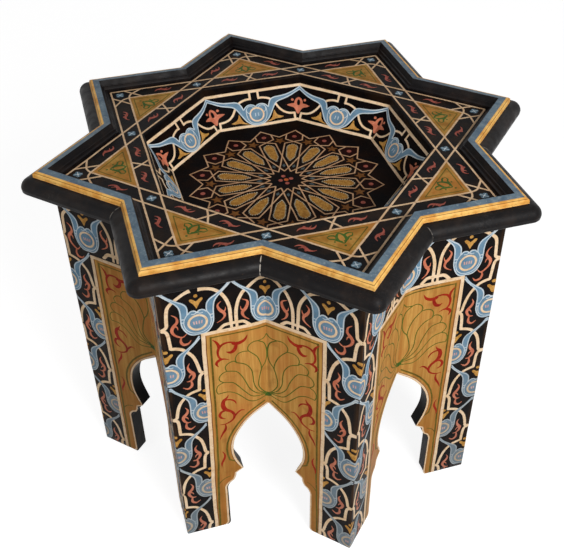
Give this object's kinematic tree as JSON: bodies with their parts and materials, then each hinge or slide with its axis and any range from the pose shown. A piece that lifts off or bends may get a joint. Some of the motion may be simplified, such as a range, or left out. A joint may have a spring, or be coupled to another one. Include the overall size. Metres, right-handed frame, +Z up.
{
  "type": "side table",
  "caption": "Low wooden side table on a star plan, with arched sides, a raised moulded rim, a sunken octagonal well and painted ornament.",
  "frame": {"origin": "on the floor, under the middle of the table", "axes": "+Z up along the axis of the star; one inward corner of the star lies along -Y, with the points half way between the inward corners"},
  "size_m": [0.6018, 0.6018, 0.48],
  "materials": {
    "board_paint": "satin black paint with painted ornament",
    "rim_paint": "semi-gloss black paint, blue band and gold bead",
    "panel_paint": "satin black paint with painted ornament",
    "well_paint": "satin black paint with painted ornament",
    "bare_wood": "bare sawn softwood",
    "screw_steel": "zinc-coated steel",
    "varnished_panel": "tan ground under varnish",
    "cream_paint": "cream line paint",
    "blue_paint": "grey-blue paint",
    "salmon_paint": "salmon paint",
    "ochre_paint": "ochre paint",
    "green_paint": "green line paint",
    "red_paint": "deep red paint"
  },
  "bodies": {
    "root": {"top_panel": "panel_paint", "well_floor": "well_paint", "side_board_1_left": "board_paint", "side_board_1_right": "board_paint", "rim_moulding_1_left": "rim_paint", "rim_moulding_1_right": "rim_paint", "well_wall_1": "well_paint", "corner_block_1": "bare_wood", "side_board_2_left": "board_paint", "side_board_2_right": "board_paint", "rim_moulding_2_left": "rim_paint", "rim_moulding_2_right": "rim_paint", "well_wall_2": "well_paint", "corner_block_2": "bare_wood", "side_board_3_left": "board_paint", "side_board_3_right": "board_paint", "rim_moulding_3_left": "rim_paint", "rim_moulding_3_right": "rim_paint", "well_wall_3": "well_paint", "corner_block_3": "bare_wood", "side_board_4_left": "board_paint", "side_board_4_right": "board_paint", "rim_moulding_4_left": "rim_paint", "rim_moulding_4_right": "rim_paint", "well_wall_4": "well_paint", "corner_block_4": "bare_wood", "side_board_5_left": "board_paint", "side_board_5_right": "board_paint", "rim_moulding_5_left": "rim_paint", "rim_moulding_5_right": "rim_paint", "well_wall_5": "well_paint", "corner_block_5": "bare_wood", "side_board_6_left": "board_paint", "side_board_6_right": "board_paint", "rim_moulding_6_left": "rim_paint", "rim_moulding_6_right": "rim_paint", "well_wall_6": "well_paint", "corner_block_6": "bare_wood", "side_board_7_left": "board_paint", "side_board_7_right": "board_paint", "rim_moulding_7_left": "rim_paint", "rim_moulding_7_right": "rim_paint", "well_wall_7": "well_paint", "corner_block_7": "bare_wood", "side_board_8_left": "board_paint", "side_board_8_right": "board_paint", "rim_moulding_8_left": "rim_paint", "rim_moulding_8_right": "rim_paint", "well_wall_8": "well_paint", "corner_block_8": "bare_wood", "block_screws": "screw_steel"}
  },
  "joints": []
}
